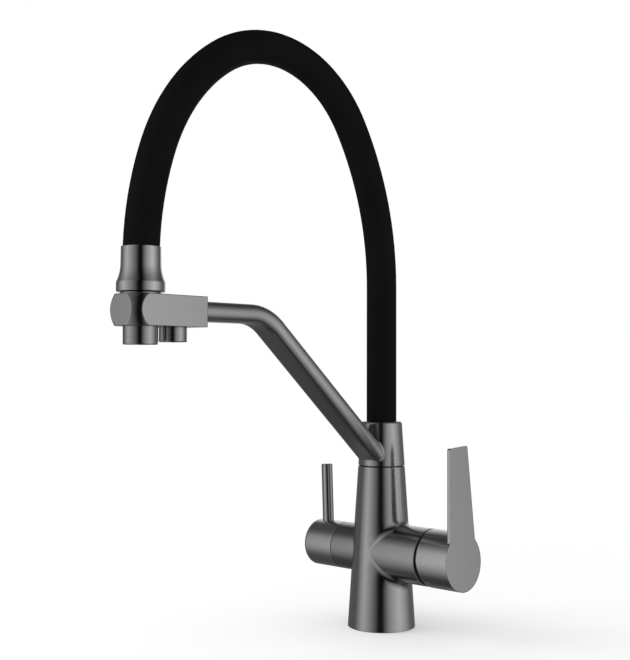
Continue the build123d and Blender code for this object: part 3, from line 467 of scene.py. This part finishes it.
# %% [markdown]
# ## Brazed root of the arm
# The arm is brazed to the collar, and the braze is filed to a small hollow fillet that catches a thin bright
# line. Its path is where the arm's flat oval meets the collar's cone. That has no simple formula, so each
# point of the oval is followed along the arm until it is on the cone. All sizes here are in millimetres.

# %% Sizes of the column and the arm
foot_radius = 26.0
seam_radius = 18.1
seam_height = 123.1
arm_half_width = 12.36
arm_half_height = 6.47
arm_root_height = 122.14
arm_level_height = 235.77
arm_corner_reach = 132.45
taper = (foot_radius - seam_radius) / seam_height
slope = math.atan2(arm_level_height - arm_root_height, arm_corner_reach)
across_arm = Vector((1, 0, 0))
along_arm = Vector((0, -math.cos(slope), math.sin(slope)))
above_arm = Vector((0, math.sin(slope), math.cos(slope)))
print("the arm rises at", round(math.degrees(slope), 1), "degrees")

# %% Path of the joint
path_points = 96
flat_pace = 1.2
search_reach = 70.0
search_steps = 40


def cone_radius(height):
    """Radius of the column and collar at a height."""
    return foot_radius - taper * height


def oval_points(count):
    """Points round the arm's section, each with the direction that faces outward there."""
    flat = arm_half_width - arm_half_height
    points = []
    for i in range(count):
        turn = 2 * math.pi * i / count
        outward = Vector((math.cos(turn), math.sin(turn)))
        middle = max(-flat, min(flat, arm_half_width * math.cos(turn) * flat_pace))
        points.append((Vector((middle, 0)) + outward * arm_half_height, outward))
    return points


def on_cone(offset):
    """Follows the arm from one point of its section to the cone, by halving the stretch that is left."""
    start = Vector((0, 0, arm_root_height)) + across_arm * offset.x + above_arm * offset.y
    inside = 0.0
    outside = search_reach
    for _ in range(search_steps):
        middle = (inside + outside) / 2
        point = start + along_arm * middle
        if math.hypot(point.x, point.y) < cone_radius(point.z):
            inside = middle
        else:
            outside = middle
    return start + along_arm * outside


path = [(on_cone(offset), outward) for offset, outward in oval_points(path_points)]
print("the joint runs from", round(min(corner.z for corner, outward in path), 1), "to",
      round(max(corner.z for corner, outward in path), 1), "mm above the worktop")

# %% Section of the fillet
fillet_size = 1.5
fillet_steps = 6
sunk_edge = 0.03


def fillet_section(corner, outward):
    """The hollow fillet's section at one point of the path, from the cone up to the arm."""
    spread = math.hypot(corner.x, corner.y)
    cone_face = Vector((corner.x / spread, corner.y / spread, taper)).normalized()
    side = across_arm * outward.x + above_arm * outward.y
    along_cone = (side - cone_face * side.dot(cone_face)).normalized()
    low = corner + along_cone * fillet_size
    reach = math.hypot(low.x, low.y)
    radius = cone_radius(low.z) - sunk_edge
    low = Vector((low.x * radius / reach, low.y * radius / reach, low.z))
    high = corner + along_arm * fillet_size - side * sunk_edge
    section = []
    for i in range(fillet_steps + 1):
        t = i / fillet_steps
        section.append(low * (1 - t) ** 2 + corner * 2 * t * (1 - t) + high * t ** 2)
    return section


print("fillet", fillet_size, "mm")

# %% Fillet mesh
def joined_sections(name, sections, closed, finish):
    """Joins sections of points, in millimetres, into one surface; a closed one ends where it started."""
    width = len(sections[0])
    faces = []
    for i in range(len(sections) if closed else len(sections) - 1):
        near = i * width
        far = (i + 1) % len(sections) * width
        faces += [(near + k, near + k + 1, far + k + 1, far + k) for k in range(width - 1)]
    mesh = bpy.data.meshes.new(name)
    mesh.from_pydata([tuple(point * MM) for section in sections for point in section], [], faces)
    return placed(name, mesh, finish)


fillet_sections = [fillet_section(corner, outward) for corner, outward in path]
root_fillet = joined_sections("arm_root_fillet", fillet_sections, True, arm_grey)
root_fillet.data.shade_smooth()
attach(root_fillet, "spout")
print("root fillet", len(fillet_sections), "sections")

# %% [markdown]
# ## Threads under the foot
# Three hoses and two studs screw into the insert under the foot. A helical ridge that stands a little proud
# of each bore's wall is enough for the eye to read a thread. Each ridge starts and ends flush with the wall.
# Sizes are in millimetres.

# %% Thread helper
thread_pitch = 1.0
thread_start = 1.0
thread_steps = 36
sunk_root = 0.02
crest_start = 0.4
crest_end = 0.5
root_end = 0.9


def thread(name, circle_radius, angle, bore_radius, depth, end):
    """A helical ridge on the wall of an upright bore; its profile is in shares of the pitch."""
    centre_x = circle_radius * math.cos(math.radians(angle))
    centre_y = circle_radius * math.sin(math.radians(angle))
    turns = (end - thread_start) / thread_pitch - 1
    wall = bore_radius + sunk_root
    sections = []
    for i in range(int(turns * thread_steps) + 1):
        turn = 2 * math.pi * i / thread_steps
        grown = max(0.0, min(1, i / thread_steps, (turns * thread_steps - i) / thread_steps))
        crest = bore_radius - depth * grown
        out = Vector((math.cos(turn), math.sin(turn), 0))
        base = Vector((centre_x, centre_y, thread_start + thread_pitch * i / thread_steps))
        profile = ((wall, 0.0), (crest, crest_start), (crest, crest_end), (wall, root_end))
        sections.append([base + out * reach + Vector((0, 0, thread_pitch * share))
                         for reach, share in profile])
    piece = joined_sections(name, sections, False, bare_brass)
    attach(piece, "body")
    print(name, round(turns, 1), "turns")


# %% Threads
inlet_circle_radius = 10
inlet_bore_radius = 4.5
inlet_thread_depth = 0.4
inlet_thread_end = 15.0
stud_circle_radius = 14.5
stud_bore_radius = 2.5
stud_thread_depth = 0.35
stud_thread_end = 13.0
for name, angle in (("hot", 60), ("filtered", 180), ("cold", 300)):
    thread(name + "_inlet_thread", inlet_circle_radius, angle, inlet_bore_radius, inlet_thread_depth,
           inlet_thread_end)
for name, angle in (("left", 120), ("right", -120)):
    thread(name + "_stud_thread", stud_circle_radius, angle, stud_bore_radius, stud_thread_depth,
           stud_thread_end)
